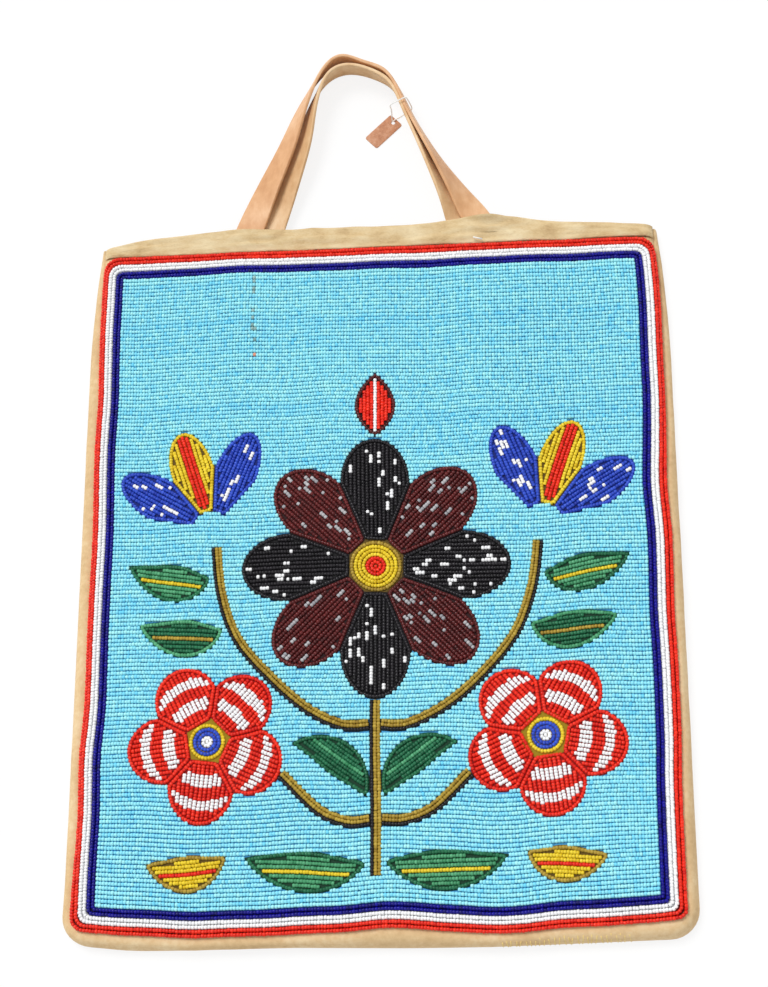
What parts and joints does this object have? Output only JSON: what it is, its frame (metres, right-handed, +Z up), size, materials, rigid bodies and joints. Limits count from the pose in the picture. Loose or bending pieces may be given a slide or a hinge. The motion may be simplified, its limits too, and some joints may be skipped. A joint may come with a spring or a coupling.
{
  "type": "beaded pouch",
  "caption": "Flat beaded pouch with a sky-blue bead field, a striped bead border, a bead flower design, tan hide margins, two strap handles and a small blank tag.",
  "frame": {"origin": "on the ground under the middle of the pouch, handles included, as it lies on its back", "axes": "+Z up out of the beadwork, +Y from the bottom seam towards the mouth and handles, +X to the right as seen from the beaded side"},
  "size_m": [0.288, 0.4524, 0.0165],
  "materials": {
    "hide": "soft tanned hide, matt",
    "hem_cloth": "creased tan cloth",
    "strap_leather": "smooth orange-tan strap leather",
    "sky_beads": "opaque sky-blue glass seed beads",
    "red_beads": "opaque red glass seed beads",
    "white_beads": "opaque white glass seed beads",
    "navy_beads": "opaque navy glass seed beads",
    "black_beads": "opaque black glass seed beads with white flecks",
    "oxblood_beads": "opaque dark red glass seed beads with white flecks",
    "yellow_beads": "opaque yellow glass seed beads",
    "gold_beads": "old gold glass seed beads edged with black",
    "royal_beads": "opaque royal blue glass seed beads with white flecks",
    "green_beads": "opaque green glass seed beads",
    "deep_green_beads": "opaque dark green glass seed beads",
    "tag_card": "plain brown card",
    "tag_thread": "white cotton thread"
  },
  "bodies": {
    "root": {"back_panel": "hide", "front_panel": "hide", "mouth_hem_front": "hem_cloth", "mouth_hem_back": "hem_cloth", "bead_field": "sky_beads", "border_navy": "navy_beads", "border_white": "white_beads", "border_red": "red_beads", "handle_front": "strap_leather", "handle_back": "strap_leather", "tag": "tag_card", "tag_thread": "tag_thread", "rosette_eye": "yellow_beads", "stem_middle": "gold_beads", "top_bud": "red_beads", "rosette_petal_1": "black_beads", "rosette_petal_2": "oxblood_beads", "rosette_petal_3": "black_beads", "rosette_petal_4": "oxblood_beads", "rosette_petal_5": "black_beads", "rosette_petal_6": "oxblood_beads", "rosette_petal_7": "black_beads", "rosette_petal_8": "oxblood_beads", "flower_petal_left_1": "red_beads", "flower_petal_left_2": "red_beads", "flower_petal_left_3": "red_beads", "flower_petal_left_4": "red_beads", "flower_petal_left_5": "red_beads", "flower_eye_left": "royal_beads", "tulip_petal_left_1": "royal_beads", "tulip_petal_left_2": "yellow_beads", "tulip_petal_left_3": "royal_beads", "stem_low_left": "gold_beads", "stem_high_left": "gold_beads", "root_leaf_left": "green_beads", "outer_leaf_left": "green_beads", "middle_leaf_left": "deep_green_beads", "side_leaf_left": "deep_green_beads", "low_bud_left": "yellow_beads", "flower_petal_right_1": "red_beads", "flower_petal_right_2": "red_beads", "flower_petal_right_3": "red_beads", "flower_petal_right_4": "red_beads", "flower_petal_right_5": "red_beads", "flower_eye_right": "royal_beads", "tulip_petal_right_1": "royal_beads", "tulip_petal_right_2": "yellow_beads", "tulip_petal_right_3": "royal_beads", "stem_low_right": "gold_beads", "stem_high_right": "gold_beads", "root_leaf_right": "green_beads", "outer_leaf_right": "green_beads", "middle_leaf_right": "deep_green_beads", "side_leaf_right": "deep_green_beads", "low_bud_right": "yellow_beads"}
  },
  "joints": []
}
